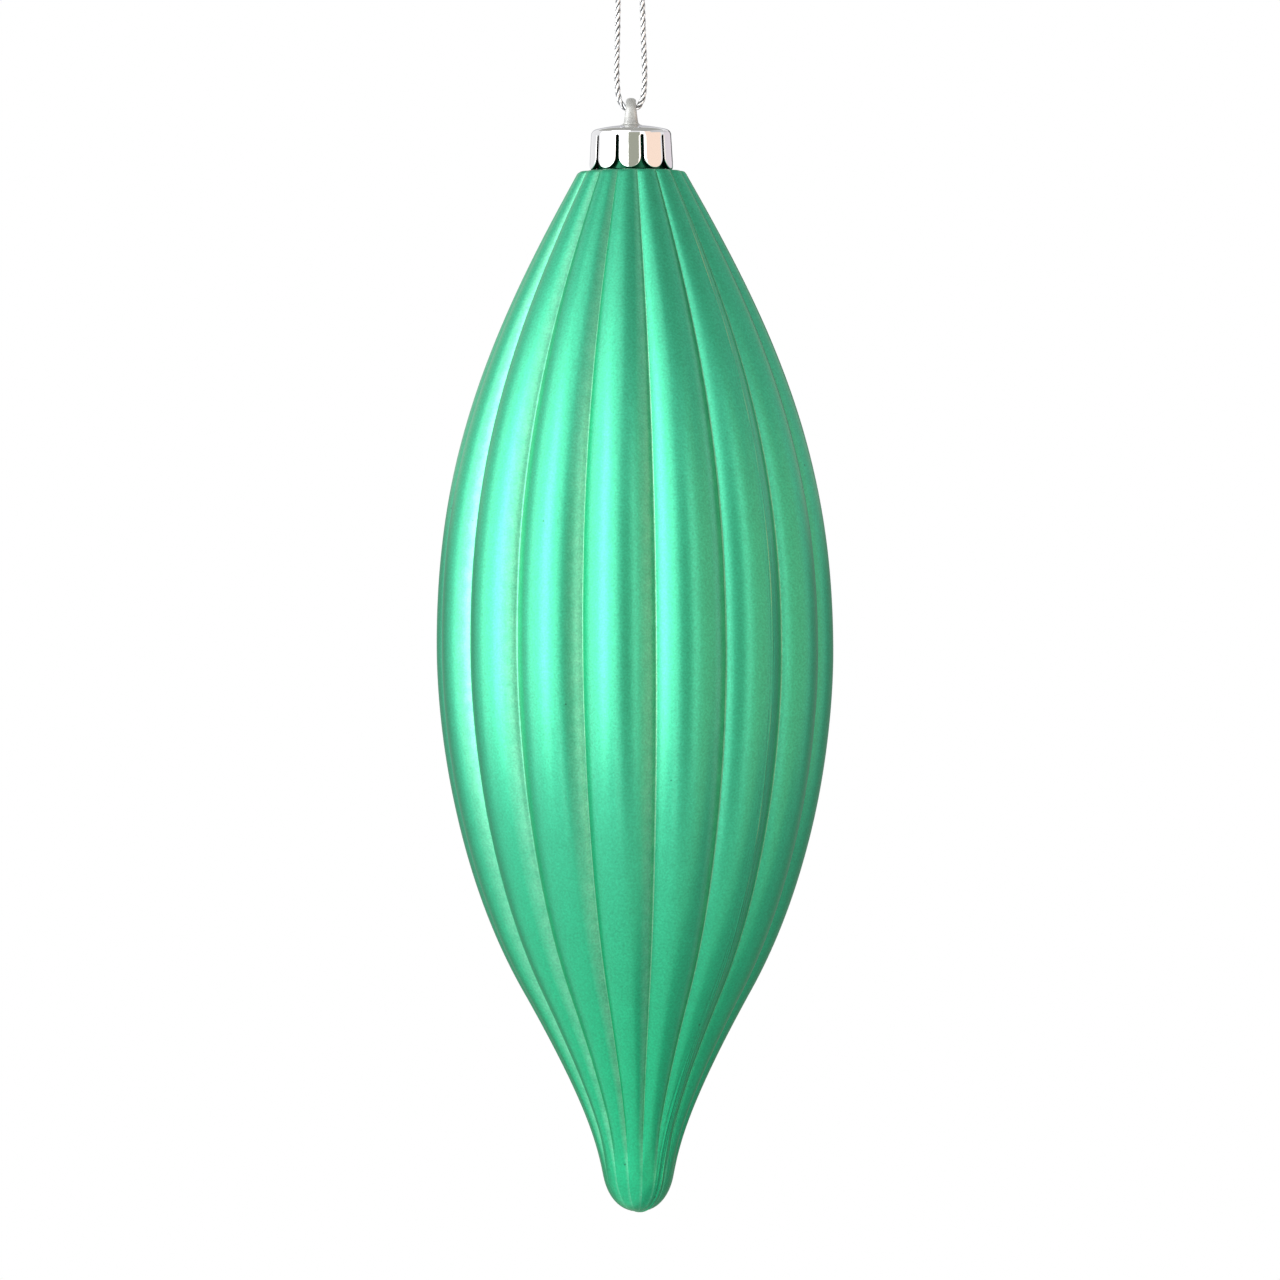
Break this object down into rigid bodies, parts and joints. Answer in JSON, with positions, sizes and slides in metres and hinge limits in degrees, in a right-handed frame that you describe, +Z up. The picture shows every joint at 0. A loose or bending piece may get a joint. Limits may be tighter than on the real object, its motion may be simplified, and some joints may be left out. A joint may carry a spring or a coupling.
{
  "type": "finial ornament",
  "caption": "Fluted spindle-shaped hanging ornament in sea green, hollow, with a slotted plated push-on cap, a moulded eyelet and a knotted metallic cord loop.",
  "frame": {"origin": "the hang point, the top of a hook's wire where it lies inside the loop of the cord, under the knot", "axes": "+Z up along the ornament's axis of turning, from its nub to its eyelet; +X along the eyelet's hole, across the two strands of the cord; -Y is the side that the picture shows"},
  "size_m": [0.0722, 0.0722, 0.2336],
  "materials": {
    "pearl_green": "satin",
    "plated_cap": "polished",
    "silver_cord": "satin"
  },
  "bodies": {
    "cord": {"hanging_cord": "silver_cord", "cord_knot": "silver_cord"},
    "cap": {"hanger_cap": "plated_cap"},
    "shell": {"body_shell": "pearl_green"}
  },
  "joints": [
    {"name": "eyelet_swing", "type": "hinge", "parent": "cord", "child": "cap", "pos_m": [0, 0, -0.0241], "axis": [1, 0, 0], "range_deg": [-110, 110]},
    {"name": "cap_pull", "type": "slide", "parent": "cap", "child": "shell", "axis": [0, 0, -1], "range_m": [0, 0.0065]}
  ]
}
